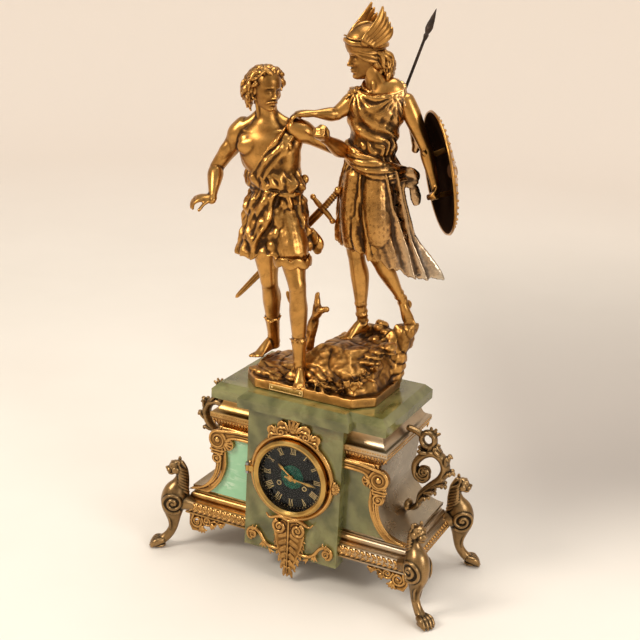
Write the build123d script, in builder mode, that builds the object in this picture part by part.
from build123d import *
import os
from math import atan2, cos, hypot, pi, radians, sin, sqrt

os.makedirs("parts", exist_ok=True)

# A gilt-metal and green-onyx mantel clock with two figures on a rock.
# Millimetres, +Z up, the dial faces -Y, the origin is on the floor under the middle of the plinth.

# Heights of the plinth, from the floor up
MOULDING_BOTTOM = 56.0
MOULDING_HEIGHT = 41.0
BODY_HEIGHT = 109.0
CORNICE_HEIGHT = 44.0
SLAB_THICK = 22.0
BODY_BOTTOM = MOULDING_BOTTOM + MOULDING_HEIGHT
BODY_TOP = BODY_BOTTOM + BODY_HEIGHT
SLAB_BOTTOM = BODY_TOP + CORNICE_HEIGHT
SLAB_TOP = SLAB_BOTTOM + SLAB_THICK

# Plan of the plinth
BODY_HALF_DEPTH = 70.0
BODY_TOP_HALF = 124.0
BODY_WAIST_HALF = 119.0
BODY_FOOT_HALF = 167.0
SIDE_PLATE = 4.0
PANEL_THICK = 10.0
BLOCK_WIDTH = 144.0
BLOCK_PROUD = 14.0
BLOCK_WALL = 12.0
BLOCK_DROP = 16.0
SLAB_WIDTH = 264.0
SLAB_DEPTH = 168.0
SLAB_BEVEL = 9.0
SLAB_BREAK_WIDTH = 168.0
SLAB_BREAK_PROUD = 12.0
BOARD_THICK = 10.0
FRAME_WIDTH = 12.0

# Dial and movement
DIAL_RISE = 65.0
DIAL_RADIUS = 55.5
DIAL_THICK = 2.0
DIAL_CENTRE_RADIUS = 17.0
DIAL_CENTRE_THICK = 0.6
MOVEMENT_HOLE_RADIUS = 50.0
PLATE_RADIUS = 46.0
PLATE_THICK = 2.5
PLATE_GAP = 31.5
WINDING_X = 19.5
WINDING_DROP = 13.0
PENDULUM_LENGTH = 107.0

# Sculpture: every size and place of the figures is written in head heights
HEAD = 50.0
ROCK_RIM_HEIGHT = 14.0

# Clearances shared by all pieces
RUN_FIT = 0.05
AIR_GAP = 0.3
OVERRUN = 1.0

# Derived places
DIAL_Z = BODY_BOTTOM + DIAL_RISE
BLOCK_FRONT = -(BODY_HALF_DEPTH + BLOCK_PROUD)
BLOCK_BACK = BLOCK_FRONT + BLOCK_WALL
BLOCK_BOTTOM = MOULDING_BOTTOM - BLOCK_DROP
BLOCK_HALF = BLOCK_WIDTH / 2
DIAL_FACE = BLOCK_FRONT - DIAL_THICK
PLATE_FRONT = BLOCK_BACK
PLATE_REAR = PLATE_FRONT + PLATE_THICK + PLATE_GAP + PLATE_THICK


def save(piece, name):
    """Label a finished piece and write it as its own file."""
    piece.label = name
    export_step(piece, f"parts/{name}.step")


def clock_plane(y, x=0.0, z=0.0):
    """A plane facing the front of the clock, with its origin on the dial axis plus (x, z)."""
    return Plane(origin=(x, y, DIAL_Z + z), x_dir=(1, 0, 0), z_dir=(0, -1, 0))


def disc(y_front, y_back, radius, x=0.0, z=0.0, bore=0.0):
    """A round disc or tube along the dial axis."""
    with BuildPart() as turned:
        with BuildSketch(clock_plane(y_back, x, z)):
            Circle(radius)
            if bore:
                Circle(bore, mode=Mode.SUBTRACT)
        extrude(amount=y_back - y_front)
    return turned.part


def egg(centre, radii, turn=(0, 0, 0)):
    """A unit ball stretched to three radii, turned and set at its centre."""
    with BuildPart() as ball:
        Sphere(1)
        scale(by=radii)
    return ball.part.moved(Location(centre, turn))


def chain(stations, side):
    """A smooth solid through ellipses strung along points: (x, y, z, half width, half depth)."""
    points = [Vector(*station[:3]) for station in stations]
    last = len(points) - 1
    with BuildPart() as solid:
        for index, (point, station) in enumerate(zip(points, stations)):
            along = (points[min(index + 1, last)] - points[max(index - 1, 0)]).normalized()
            across = Vector(*side) - along * Vector(*side).dot(along)
            with BuildSketch(Plane(origin=point, x_dir=across, z_dir=along)):
                Ellipse(station[3], station[4])
        loft()
    return solid.part


def fused(*pieces):
    """One solid from pieces that run into each other."""
    with BuildPart() as whole:
        for piece in pieces:
            add(piece)
    return whole.part


def cut_by(piece, *others):
    """A piece with the room of its neighbours taken out of it."""
    with BuildPart() as rest:
        add(piece)
        for other in others:
            add(other, mode=Mode.SUBTRACT)
    return rest.part


def largest(piece):
    """The main solid of a piece, without crumbs left by a cut."""
    return piece.solids().sort_by(SortBy.VOLUME)[-1]


# Plinth stonework

STUD_RADIUS = 3.0
STUD_X = 40.0
STUD_Y = 10.0
STUD_PLACES = [(-STUD_X, STUD_Y), (STUD_X, STUD_Y)]


def make_top_slab():
    """The onyx cap, stepped forward over the dial block, bevelled all round its top."""
    step = SLAB_DEPTH / 2 + SLAB_BREAK_PROUD
    with BuildPart() as slab:
        with BuildSketch(Plane.XY.offset(SLAB_BOTTOM)):
            Rectangle(SLAB_WIDTH, SLAB_DEPTH)
            with Locations((0, -step / 2)):
                Rectangle(SLAB_BREAK_WIDTH, step)
        extrude(amount=SLAB_THICK)
        chamfer(slab.faces().sort_by(Axis.Z)[-1].outer_wire().edges(), length=SLAB_BEVEL)
        with Locations(Plane.XY.offset(SLAB_TOP)):
            with Locations(*STUD_PLACES):
                Hole(STUD_RADIUS + AIR_GAP)
    return slab.part


def make_centre_block():
    """The onyx dial block: a front slab with the movement hole and two short returns."""
    with BuildPart() as block:
        with BuildSketch(Plane.XY.offset(BLOCK_BOTTOM)):
            with Locations((0, BLOCK_FRONT + BLOCK_WALL / 2)):
                Rectangle(BLOCK_WIDTH, BLOCK_WALL)
            for side in (-1, 1):
                with Locations((side * (BLOCK_HALF - BLOCK_WALL / 2), BLOCK_FRONT + BLOCK_WALL)):
                    Rectangle(BLOCK_WALL, 2 * BLOCK_WALL)
        extrude(amount=SLAB_BOTTOM - BLOCK_BOTTOM)
        with BuildSketch(clock_plane(BLOCK_FRONT)):
            Circle(MOVEMENT_HOLE_RADIUS)
        extrude(amount=-BLOCK_WALL, mode=Mode.SUBTRACT)
    return block.part


BLOCK_REAR = BLOCK_FRONT + 2 * BLOCK_WALL
SIDE_ARC = BODY_FOOT_HALF - BODY_WAIST_HALF
SIDE_ARC_Z = BODY_BOTTOM + SIDE_ARC + SIDE_PLATE


def side_line(sign, inset):
    """The concave flank of the body, seen from the front, as edges from its foot to its top."""
    foot = (sign * BODY_FOOT_HALF, SIDE_ARC_Z - SIDE_ARC - inset)
    waist = (sign * (BODY_WAIST_HALF - inset), SIDE_ARC_Z)
    knee = (SIDE_ARC + inset) * sqrt(0.5)
    middle = (sign * (BODY_FOOT_HALF - knee), SIDE_ARC_Z - knee)
    top = (sign * (BODY_TOP_HALF - inset), BODY_TOP)
    return foot, middle, waist, top


def make_panel(sign):
    """An onyx front panel between the dial block and the flank."""
    foot, middle, waist, top = side_line(sign, SIDE_PLATE)
    with BuildPart() as panel:
        with BuildSketch(Plane.XZ.offset(BODY_HALF_DEPTH)):
            with BuildLine():
                Line((sign * BLOCK_HALF, BODY_BOTTOM), foot)
                ThreePointArc(foot, middle, waist)
                Polyline(waist, top, (sign * BLOCK_HALF, BODY_TOP), (sign * BLOCK_HALF, BODY_BOTTOM))
            make_face()
        extrude(amount=-PANEL_THICK)
    return panel.part


def make_side_plate(sign):
    """A gilt sheet that clads one concave flank."""
    foot, middle, waist, top = side_line(sign, 0.0)
    foot_in, middle_in, waist_in, top_in = side_line(sign, SIDE_PLATE)
    with BuildPart() as plate:
        with BuildSketch(Plane.XZ):
            with BuildLine():
                ThreePointArc(foot, middle, waist)
                Polyline(waist, top, top_in, waist_in)
                ThreePointArc(waist_in, middle_in, foot_in)
                Line(foot_in, foot)
            make_face()
        extrude(amount=BODY_HALF_DEPTH, both=True)
    return plate.part


BACK_HOLE_RADIUS = 39.5


def make_back_panel():
    """The flat stone back with a round opening for the movement."""
    right = side_line(1, SIDE_PLATE)
    left = side_line(-1, SIDE_PLATE)
    with BuildPart() as panel:
        with BuildSketch(Plane.XZ.offset(-BODY_HALF_DEPTH)):
            with BuildLine():
                ThreePointArc(*right[:3])
                Polyline(right[2], right[3], left[3], left[2])
                ThreePointArc(left[2], left[1], left[0])
                Line(left[0], right[0])
            make_face()
        extrude(amount=PANEL_THICK)
        with BuildSketch(clock_plane(BODY_HALF_DEPTH)):
            Circle(BACK_HOLE_RADIUS)
        extrude(amount=PANEL_THICK, mode=Mode.SUBTRACT)
    return panel.part


BOARD_BACK = BODY_HALF_DEPTH - FRAME_WIDTH


def make_case_boards():
    """Two upright boards and a floor board, with a well where the pendulum comes down to it."""
    pendulum_foot = PIVOT_Z - PENDULUM_LENGTH - BOB_RADIUS - NUT_HEIGHT
    with BuildPart() as boards:
        with BuildSketch(Plane.XY.offset(BODY_BOTTOM)):
            for side in (-1, 1):
                with Locations((side * (BLOCK_HALF - BOARD_THICK / 2), (BLOCK_REAR + BOARD_BACK) / 2)):
                    Rectangle(BOARD_THICK, BOARD_BACK - BLOCK_REAR)
        extrude(amount=SLAB_BOTTOM - BODY_BOTTOM)
        with BuildSketch(Plane.XY.offset(MOULDING_BOTTOM)):
            Rectangle(2 * (BODY_FOOT_HALF - FRAME_WIDTH), 2 * BOARD_BACK)
        extrude(amount=BOARD_THICK)
        if pendulum_foot - BOB_CLEAR < MOULDING_BOTTOM + BOARD_THICK:
            with BuildSketch(Plane.XY.offset(MOULDING_BOTTOM)):
                with Locations((0, PENDULUM_Y)):
                    Rectangle(2 * (BOB_RADIUS + PENDULUM_LENGTH * SWING_SHARE), BOB_THICK + 2 * BOB_CLEAR)
            extrude(amount=BOARD_THICK, mode=Mode.SUBTRACT)
    return boards.part


# Gilt mouldings. Each rail lists (offset from the body, height, bulge of the edge that leads there).

CORNICE_OFFSET = 2.0
COVE_INSET = 5.0
COVE_BULGE = 4.0
FILLET_PROUD = 11.0
FILLET_HEIGHT = 6.0
BAND_HEIGHT = 14.0
TORUS_PROUD = 6.0
TORUS_HEIGHT = 18.0
TORUS_BULGE = 6.0
PLINTH_STEP = 3.0
STEP_HEIGHT = 8.0
TOE_HEIGHT = 4.0

CORNICE_RAIL = [
    (CORNICE_OFFSET, BODY_TOP, 0.0),
    (FILLET_PROUD, BODY_TOP + BAND_HEIGHT, 0.0),
    (FILLET_PROUD, BODY_TOP + BAND_HEIGHT + FILLET_HEIGHT, 0.0),
    (-COVE_INSET, BODY_TOP + BAND_HEIGHT + FILLET_HEIGHT, 0.0),
    (CORNICE_OFFSET, SLAB_BOTTOM, COVE_BULGE),
]
BASE_RAIL = [
    (TORUS_PROUD, MOULDING_BOTTOM, 0.0),
    (TORUS_PROUD, MOULDING_BOTTOM + TOE_HEIGHT, 0.0),
    (TORUS_PROUD, MOULDING_BOTTOM + TOE_HEIGHT + TORUS_HEIGHT, -TORUS_BULGE),
    (PLINTH_STEP, MOULDING_BOTTOM + TOE_HEIGHT + TORUS_HEIGHT, 0.0),
    (PLINTH_STEP, BODY_BOTTOM - STEP_HEIGHT, 0.0),
    (0.0, BODY_BOTTOM - STEP_HEIGHT, 0.0),
    (0.0, BODY_BOTTOM, 0.0),
]


def moulding_face(half, rail):
    """The mirror-symmetric section of a moulded block."""
    right = [(half + offset, height) for offset, height, _ in rail]
    left = [(-across, height) for across, height in right]
    bulges = [bulge for _, _, bulge in rail]
    with BuildSketch() as section:
        with BuildLine():
            for index in range(1, len(rail)):
                edges = [(right[index - 1], right[index]), (left[index], left[index - 1])]
                for start, end in edges:
                    if bulges[index]:
                        SagittaArc(start, end, bulges[index])
                    else:
                        Line(start, end)
            Line(right[-1], left[-1])
            Line(left[0], right[0])
        make_face()
    return section.sketch


def make_moulding(half_width, rail):
    """A mitred rectangular moulding, hollow inside and open where the dial block passes."""
    low, high = rail[0][1], rail[-1][1]
    reach = half_width + BODY_HALF_DEPTH
    with BuildPart() as moulding:
        with BuildSketch(Plane.XZ):
            add(moulding_face(half_width, rail))
        extrude(amount=reach, both=True)
        with BuildSketch(Plane.YZ):
            add(moulding_face(BODY_HALF_DEPTH, rail))
        extrude(amount=reach, both=True, mode=Mode.INTERSECT)
        with BuildSketch(Plane.XY.offset(low)):
            Rectangle(2 * (half_width - FRAME_WIDTH), 2 * (BODY_HALF_DEPTH - FRAME_WIDTH))
            with Locations((0, -BODY_HALF_DEPTH)):
                Rectangle(BLOCK_WIDTH, 2 * BODY_HALF_DEPTH)
        extrude(amount=high - low, mode=Mode.SUBTRACT)
    return moulding.part


top_slab = make_top_slab()
centre_block = make_centre_block()
left_panel = make_panel(-1)
right_panel = make_panel(1)
side_plates = fused(make_side_plate(-1), make_side_plate(1))
back_panel = make_back_panel()
cornice = make_moulding(BODY_TOP_HALF, CORNICE_RAIL)
base_moulding = make_moulding(BODY_FOOT_HALF, BASE_RAIL)

save(top_slab, "top_slab")
save(centre_block, "centre_block")
save(left_panel, "left_panel")
save(right_panel, "right_panel")
save(side_plates, "side_plates")
save(back_panel, "back_panel")
save(cornice, "cornice")
save(base_moulding, "base_moulding")

# Clockwork, front to back along the dial axis

CENTRE_ARBOR_RADIUS = 1.0
CANNON_PIPE_RADIUS = 1.7
HOUR_PIPE_RADIUS = 2.7
TOOTH_WIDTH = 2.0
MOTION_CENTRES = 14.4
MOTION_GAP = 1.5
HAND_THICK = 1.0
HAND_GAP = 1.6
MINUTE_HAND_LENGTH = 39.0
HOUR_HAND_LENGTH = 27.0
HAND_WIDTH = 3.0
HAND_TAIL = 9.0
HAND_BOSS_RADIUS = 4.2
DIAL_FOOT_RADIUS = 1.5
DIAL_FOOT_PLACE = 43.0
DIAL_FOOT_ANGLES = (90, 200, 340)
DIAL_EYE_RADIUS = 3.4
WINDING_EYE_RADIUS = 3.2
CANNON_TEETH = 12
MINUTE_TEETH = 36
MINUTE_LEAVES = 10
HOUR_TEETH = 40
MINUTE_AT = 96.0
HOUR_AT = 308.0

MINUTE_PLANE = PLATE_FRONT - MOTION_GAP
HOUR_PLANE = MINUTE_PLANE - TOOTH_WIDTH - MOTION_GAP
HOUR_HAND_BACK = DIAL_FACE - DIAL_CENTRE_THICK - HAND_GAP
MINUTE_HAND_BACK = HOUR_HAND_BACK - HAND_THICK - HAND_GAP

TIP_SHARE = 0.42
ROOT_SHARE = 0.58
TOOTH_TIP_SHARE = 0.14
TOOTH_ROOT_SHARE = 0.24


def gear(teeth, pitch_radius, y_front, y_back, phase, bore, x=0.0, z=0.0):
    """A spur gear of straight-sided teeth; one tooth points at the phase angle."""
    step = 360 / teeth
    rise = pitch_radius / teeth * 2
    tip = pitch_radius + TIP_SHARE * 2 * rise
    root = pitch_radius - ROOT_SHARE * 2 * rise
    corners = []
    for tooth in range(teeth):
        middle = phase + tooth * step
        corners.append((root, middle - TOOTH_ROOT_SHARE * step))
        corners.append((tip, middle - TOOTH_TIP_SHARE * step))
        corners.append((tip, middle + TOOTH_TIP_SHARE * step))
        corners.append((root, middle + TOOTH_ROOT_SHARE * step))
    outline = [(out * cos(radians(at)), out * sin(radians(at))) for out, at in corners]
    with BuildPart() as wheel:
        with BuildSketch(clock_plane(y_back, x, z)):
            Polygon(*outline, align=None)
            if bore:
                Circle(bore, mode=Mode.SUBTRACT)
        extrude(amount=y_back - y_front)
    return wheel.part


def pitch(teeth, other, centres):
    """Pitch radius of a gear that meshes with another at a given distance."""
    return centres * teeth / (teeth + other)


def make_dial():
    """The black dial with its hand eye, two winding eyes and three feet."""
    with BuildPart() as dial:
        with BuildSketch(clock_plane(BLOCK_FRONT)):
            Circle(DIAL_RADIUS)
            Circle(DIAL_EYE_RADIUS, mode=Mode.SUBTRACT)
            with Locations((-WINDING_X, -WINDING_DROP), (WINDING_X, -WINDING_DROP)):
                Circle(WINDING_EYE_RADIUS, mode=Mode.SUBTRACT)
        extrude(amount=DIAL_THICK)
        with BuildSketch(clock_plane(PLATE_FRONT)):
            for angle in DIAL_FOOT_ANGLES:
                with Locations((DIAL_FOOT_PLACE * cos(radians(angle)),
                                DIAL_FOOT_PLACE * sin(radians(angle)))):
                    Circle(DIAL_FOOT_RADIUS)
        extrude(amount=PLATE_FRONT - BLOCK_FRONT)
    return dial.part


SPADE_SHARES = [(0.0, 0.0), (0.5, 0.55), (0.72, 1.6), (0.86, 0.6), (1.0, 0.0)]


def make_hand(length, angle, y_back, bore):
    """A spade hand cut from sheet, with a round boss and a short tail."""
    right = [(HAND_WIDTH / 2 * wide, length * far) for far, wide in SPADE_SHARES[1:-1]]
    left = [(-across, far) for across, far in reversed(right)]
    tail = HAND_WIDTH / 2
    with BuildPart() as hand:
        with BuildSketch(clock_plane(y_back)):
            with Locations(Location((0, 0, 0), (0, 0, -angle))):
                Polygon((tail, -HAND_TAIL), (tail, 0), *right, (0, length), *left, (-tail, 0),
                        (-tail, -HAND_TAIL), align=None)
            Circle(HAND_BOSS_RADIUS)
            Circle(bore, mode=Mode.SUBTRACT)
        extrude(amount=HAND_THICK)
    return hand.part


def make_cannon_pinion():
    """The minute pipe with its pinion and a shoulder that carries the minute hand."""
    bore = CENTRE_ARBOR_RADIUS + RUN_FIT
    leaves = gear(CANNON_TEETH, pitch(CANNON_TEETH, MINUTE_TEETH, MOTION_CENTRES),
                  MINUTE_PLANE - TOOTH_WIDTH, MINUTE_PLANE, 90, bore)
    pipe = disc(MINUTE_HAND_BACK - HAND_THICK - HAND_GAP / 2, MINUTE_PLANE, CANNON_PIPE_RADIUS, bore=bore)
    return fused(leaves, pipe)


def make_hour_wheel():
    """The hour wheel on its pipe, which runs on the minute pipe."""
    bore = CANNON_PIPE_RADIUS + RUN_FIT
    wheel = gear(HOUR_TEETH, pitch(HOUR_TEETH, MINUTE_LEAVES, MOTION_CENTRES),
                 HOUR_PLANE - TOOTH_WIDTH, HOUR_PLANE, 90, bore)
    pipe = disc(HOUR_HAND_BACK - HAND_THICK, HOUR_PLANE, HOUR_PIPE_RADIUS, bore=bore)
    return fused(wheel, pipe)


MINUTE_STUD_RADIUS = 1.2


def make_minute_wheel():
    """The reduction wheel and pinion between the minute and hour pipes."""
    bore = MINUTE_STUD_RADIUS + RUN_FIT
    wheel = gear(MINUTE_TEETH, pitch(MINUTE_TEETH, CANNON_TEETH, MOTION_CENTRES),
                 MINUTE_PLANE - TOOTH_WIDTH, MINUTE_PLANE, -90 + 180 / MINUTE_TEETH, bore, z=MOTION_CENTRES)
    leaves = gear(MINUTE_LEAVES, pitch(MINUTE_LEAVES, HOUR_TEETH, MOTION_CENTRES),
                  HOUR_PLANE - TOOTH_WIDTH, MINUTE_PLANE - TOOTH_WIDTH, -90 + 180 / MINUTE_LEAVES, bore,
                  z=MOTION_CENTRES)
    return fused(wheel, leaves)


# Frame, power and train

PILLAR_RADIUS = 3.0
PILLAR_PLACE = 41.0
PILLAR_ANGLES = (62, 118, 246, 294)
ARBOR_RADIUS = 2.2
ARBOR_SQUARE = 3.2
ARBOR_SQUARE_LENGTH = 9.0
ARBOR_PROUD = 1.0
RATCHET_RADIUS = 7.5
RATCHET_TEETH = 20
BARREL_RADIUS = 17.5
BARREL_MARGIN = 3.0
BARREL_SETBACK = 12.0
TRAIN_STEP = 4.5
GREAT_TEETH = 60
CENTRE_LEAVES = 12
GREAT_RIM = 2.5
TRAIN_PIVOT = 0.8
CENTRE_WHEEL_TEETH = 48
CENTRE_WHEEL_RADIUS = 12.0
THIRD_LEAVES = 8
THIRD_WHEEL_TEETH = 44
THIRD_WHEEL_RADIUS = 9.9
ESCAPE_LEAVES = 8
THIRD_ANGLE = 122.0
ESCAPE_TEETH = 24
ESCAPE_RADIUS = 7.5
WHEEL_THICK = 1.5
PALLET_RISE = 34.0
PALLET_ARBOR_RADIUS = 1.2

PLATE_INNER_FRONT = PLATE_FRONT + PLATE_THICK
PLATE_INNER_REAR = PLATE_REAR - PLATE_THICK
BARREL_CENTRES = hypot(WINDING_X, WINDING_DROP)
GREAT_PHASE = 180 / pi * atan2(WINDING_DROP, WINDING_X)
GREAT_REAR = PLATE_INNER_REAR - BARREL_MARGIN
THIRD_CENTRES = CENTRE_WHEEL_RADIUS * (CENTRE_WHEEL_TEETH + THIRD_LEAVES) / CENTRE_WHEEL_TEETH
THIRD_X = THIRD_CENTRES * cos(radians(THIRD_ANGLE))
THIRD_Z = THIRD_CENTRES * sin(radians(THIRD_ANGLE))
ESCAPE_CENTRES = THIRD_WHEEL_RADIUS * (THIRD_WHEEL_TEETH + ESCAPE_LEAVES) / THIRD_WHEEL_TEETH
ESCAPE_Z = THIRD_Z + sqrt(ESCAPE_CENTRES ** 2 - THIRD_X ** 2)
ESCAPE_PHASE = 180 / pi * atan2(ESCAPE_Z - THIRD_Z, -THIRD_X)
CENTRE_WHEEL_PLANE = PLATE_INNER_FRONT + BARREL_MARGIN
THIRD_WHEEL_PLANE = CENTRE_WHEEL_PLANE + TRAIN_STEP
ESCAPE_PLANE = PLATE_INNER_REAR - BARREL_MARGIN


def make_movement_frame():
    """Two round brass plates, four pillars between them and the studs they carry."""
    places = [(PILLAR_PLACE * cos(radians(at)), PILLAR_PLACE * sin(radians(at))) for at in PILLAR_ANGLES]
    with BuildPart() as frame:
        for back in (PLATE_INNER_FRONT, PLATE_REAR):
            with BuildSketch(clock_plane(back)):
                Circle(PLATE_RADIUS)
                with Locations((-WINDING_X, -WINDING_DROP), (WINDING_X, -WINDING_DROP)):
                    Circle(ARBOR_RADIUS + RUN_FIT, mode=Mode.SUBTRACT)
                with Locations((0, PALLET_RISE)):
                    Circle(PALLET_ARBOR_RADIUS + RUN_FIT, mode=Mode.SUBTRACT)
                Circle(CENTRE_ARBOR_RADIUS, mode=Mode.SUBTRACT)
                with Locations((THIRD_X, THIRD_Z), (0, ESCAPE_Z)):
                    Circle(TRAIN_PIVOT, mode=Mode.SUBTRACT)
            extrude(amount=PLATE_THICK)
        with BuildSketch(clock_plane(PLATE_INNER_REAR)):
            with Locations(*places):
                Circle(PILLAR_RADIUS)
        extrude(amount=PLATE_GAP)
        with BuildSketch(clock_plane(PLATE_FRONT, z=MOTION_CENTRES)):
            Circle(MINUTE_STUD_RADIUS)
        extrude(amount=PLATE_FRONT - HOUR_PLANE + TOOTH_WIDTH + MOTION_GAP / 2)
    return frame.part


def make_winding_arbor(sign):
    """A barrel arbor with its winding square in front and a ratchet wheel."""
    place = dict(x=sign * WINDING_X, z=-WINDING_DROP)
    shaft = disc(DIAL_FACE - ARBOR_PROUD + ARBOR_SQUARE_LENGTH, PLATE_REAR, ARBOR_RADIUS, **place)
    click = gear(RATCHET_TEETH, RATCHET_RADIUS, MINUTE_PLANE - TOOTH_WIDTH, MINUTE_PLANE, 90, 0.0, **place)
    with BuildPart() as arbor:
        add(shaft)
        add(click)
        with BuildSketch(clock_plane(DIAL_FACE - ARBOR_PROUD + ARBOR_SQUARE_LENGTH, **place)):
            Rectangle(ARBOR_SQUARE, ARBOR_SQUARE)
        extrude(amount=ARBOR_SQUARE_LENGTH)
    return arbor.part


def make_train():
    """Barrels and the going-train wheels, held by the escapement at rest."""
    bore = ARBOR_RADIUS + RUN_FIT
    great = pitch(GREAT_TEETH, CENTRE_LEAVES, BARREL_CENTRES)
    drum_front = PLATE_INNER_FRONT + BARREL_SETBACK
    drums = []
    for sign, wheel_back in ((-1, GREAT_REAR), (1, drum_front + GREAT_RIM)):
        place = dict(x=sign * WINDING_X, z=-WINDING_DROP)
        drum = disc(drum_front, GREAT_REAR, BARREL_RADIUS, bore=bore, **place)
        facing = GREAT_PHASE if sign < 0 else 180 - GREAT_PHASE
        rim = gear(GREAT_TEETH, great, wheel_back - GREAT_RIM, wheel_back, facing, bore, **place)
        drums.append(fused(drum, rim))
    centre = fused(
        disc(MINUTE_HAND_BACK, PLATE_REAR, CENTRE_ARBOR_RADIUS),
        gear(CENTRE_LEAVES, pitch(CENTRE_LEAVES, GREAT_TEETH, BARREL_CENTRES), GREAT_REAR - GREAT_RIM,
             GREAT_REAR, 180 + GREAT_PHASE + 180 / CENTRE_LEAVES, 0.0),
        gear(CENTRE_WHEEL_TEETH, CENTRE_WHEEL_RADIUS, CENTRE_WHEEL_PLANE, CENTRE_WHEEL_PLANE + WHEEL_THICK,
             THIRD_ANGLE, 0.0),
    )
    third = fused(
        disc(PLATE_FRONT, PLATE_REAR, TRAIN_PIVOT, THIRD_X, THIRD_Z),
        gear(THIRD_LEAVES, THIRD_CENTRES - CENTRE_WHEEL_RADIUS, CENTRE_WHEEL_PLANE,
             CENTRE_WHEEL_PLANE + WHEEL_THICK, 180 + THIRD_ANGLE + 180 / THIRD_LEAVES, 0.0, THIRD_X,
             THIRD_Z),
        gear(THIRD_WHEEL_TEETH, THIRD_WHEEL_RADIUS, THIRD_WHEEL_PLANE, THIRD_WHEEL_PLANE + WHEEL_THICK,
             ESCAPE_PHASE, 0.0, THIRD_X, THIRD_Z),
    )
    escape = fused(
        disc(PLATE_FRONT, PLATE_REAR, TRAIN_PIVOT, 0.0, ESCAPE_Z),
        gear(ESCAPE_LEAVES, ESCAPE_CENTRES - THIRD_WHEEL_RADIUS, THIRD_WHEEL_PLANE,
             THIRD_WHEEL_PLANE + WHEEL_THICK, 180 + ESCAPE_PHASE + 180 / ESCAPE_LEAVES, 0.0, 0.0, ESCAPE_Z),
        gear(ESCAPE_TEETH, ESCAPE_RADIUS, ESCAPE_PLANE - WHEEL_THICK, ESCAPE_PLANE, 90, 0.0, 0.0, ESCAPE_Z),
    )
    with BuildPart() as train:
        for wheel in (*drums, centre, third, escape):
            add(wheel)
    return train.part


# Escapement, pendulum and striking

PENDULUM_Y_GAP = 8.0
ROD_RADIUS = 1.2
BOB_RADIUS = 15.0
BOB_THICK = 9.0
BOB_EDGE = 2.0
BOB_CLEAR = 1.0
SWING_SHARE = 0.15
NUT_RADIUS = 3.0
NUT_HEIGHT = 4.0
CRUTCH_LENGTH = 46.0
CRUTCH_WIDTH = 3.0
CRUTCH_THICK = 1.2
CRUTCH_GAP = 1.0
FORK_RADIUS = 0.8
ANCHOR_WIDTH = 3.0
ANCHOR_CLEAR = 0.8
SPRING_WIDTH = 4.0
SPRING_THICK = 0.8
SPRING_LENGTH = 9.0
COCK_WIDTH = 12.0
COCK_HEIGHT = 8.0
BELL_RADIUS = 31.0
BELL_DEPTH = 24.0
BELL_WALL = 2.0
BELL_GAP = 14.0
STAND_RADIUS = 2.0
STAND_PLACE = 38.0
STAND_BEND = 6.0
STAND_BEHIND = 7.0
HAMMER_PIVOT_X = -34.0
HAMMER_PIVOT_DROP = 24.0
HAMMER_STUD_RADIUS = 1.5
HAMMER_HUB_RADIUS = 3.2
HAMMER_ARM_WIDTH = 3.0
HAMMER_HEAD_RADIUS = 3.5
HAMMER_HEAD_LENGTH = 9.0
HAMMER_REST_GAP = 1.2
HAMMER_RISE = 2.0

PENDULUM_Y = PLATE_REAR + PENDULUM_Y_GAP
PIVOT_Z = DIAL_Z + PALLET_RISE
BELL_FRONT = PLATE_REAR + BELL_GAP + BOB_THICK
BELL_APEX = BELL_FRONT + BELL_DEPTH
STAND_Y = BELL_APEX + STAND_BEHIND


def make_crutch():
    """The pallet anchor on its arbor, with the crutch and fork that meet the pendulum rod."""
    reach = PALLET_RISE - ESCAPE_Z
    inner = ESCAPE_RADIUS * (1 + TIP_SHARE * 2 * 2 / ESCAPE_TEETH) + ANCHOR_CLEAR
    arbor = disc(PLATE_FRONT, PLATE_REAR + CRUTCH_GAP + CRUTCH_THICK, PALLET_ARBOR_RADIUS, z=PALLET_RISE)
    with BuildPart() as crutch:
        add(arbor)
        with BuildSketch(clock_plane(ESCAPE_PLANE)):
            with Locations((0, ESCAPE_Z)):
                Circle(inner + ANCHOR_WIDTH)
                Circle(inner, mode=Mode.SUBTRACT)
            with Locations((0, ESCAPE_Z - inner)):
                Rectangle(4 * inner, 2 * (inner + ESCAPE_RADIUS / 2), mode=Mode.SUBTRACT)
            with Locations((0, ESCAPE_Z + (inner + reach) / 2)):
                Rectangle(ANCHOR_WIDTH, reach - inner)
            with Locations((0, PALLET_RISE)):
                Circle(ANCHOR_WIDTH)
        extrude(amount=WHEEL_THICK)
        with BuildSketch(clock_plane(PLATE_REAR + CRUTCH_GAP + CRUTCH_THICK, z=PALLET_RISE)):
            Circle(CRUTCH_WIDTH)
            with Locations((0, -CRUTCH_LENGTH / 2)):
                Rectangle(CRUTCH_WIDTH, CRUTCH_LENGTH)
            with Locations((0, -CRUTCH_LENGTH)):
                Rectangle(3 * CRUTCH_WIDTH, CRUTCH_WIDTH)
        extrude(amount=CRUTCH_THICK)
        prong = ROD_RADIUS + FORK_RADIUS + AIR_GAP
        with BuildSketch(clock_plane(PENDULUM_Y + 2 * ROD_RADIUS, z=PALLET_RISE)):
            with Locations((-prong, -CRUTCH_LENGTH), (prong, -CRUTCH_LENGTH)):
                Circle(FORK_RADIUS)
        extrude(amount=PENDULUM_Y + 2 * ROD_RADIUS - PLATE_REAR - CRUTCH_GAP - CRUTCH_THICK)
    return crutch.part


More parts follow.
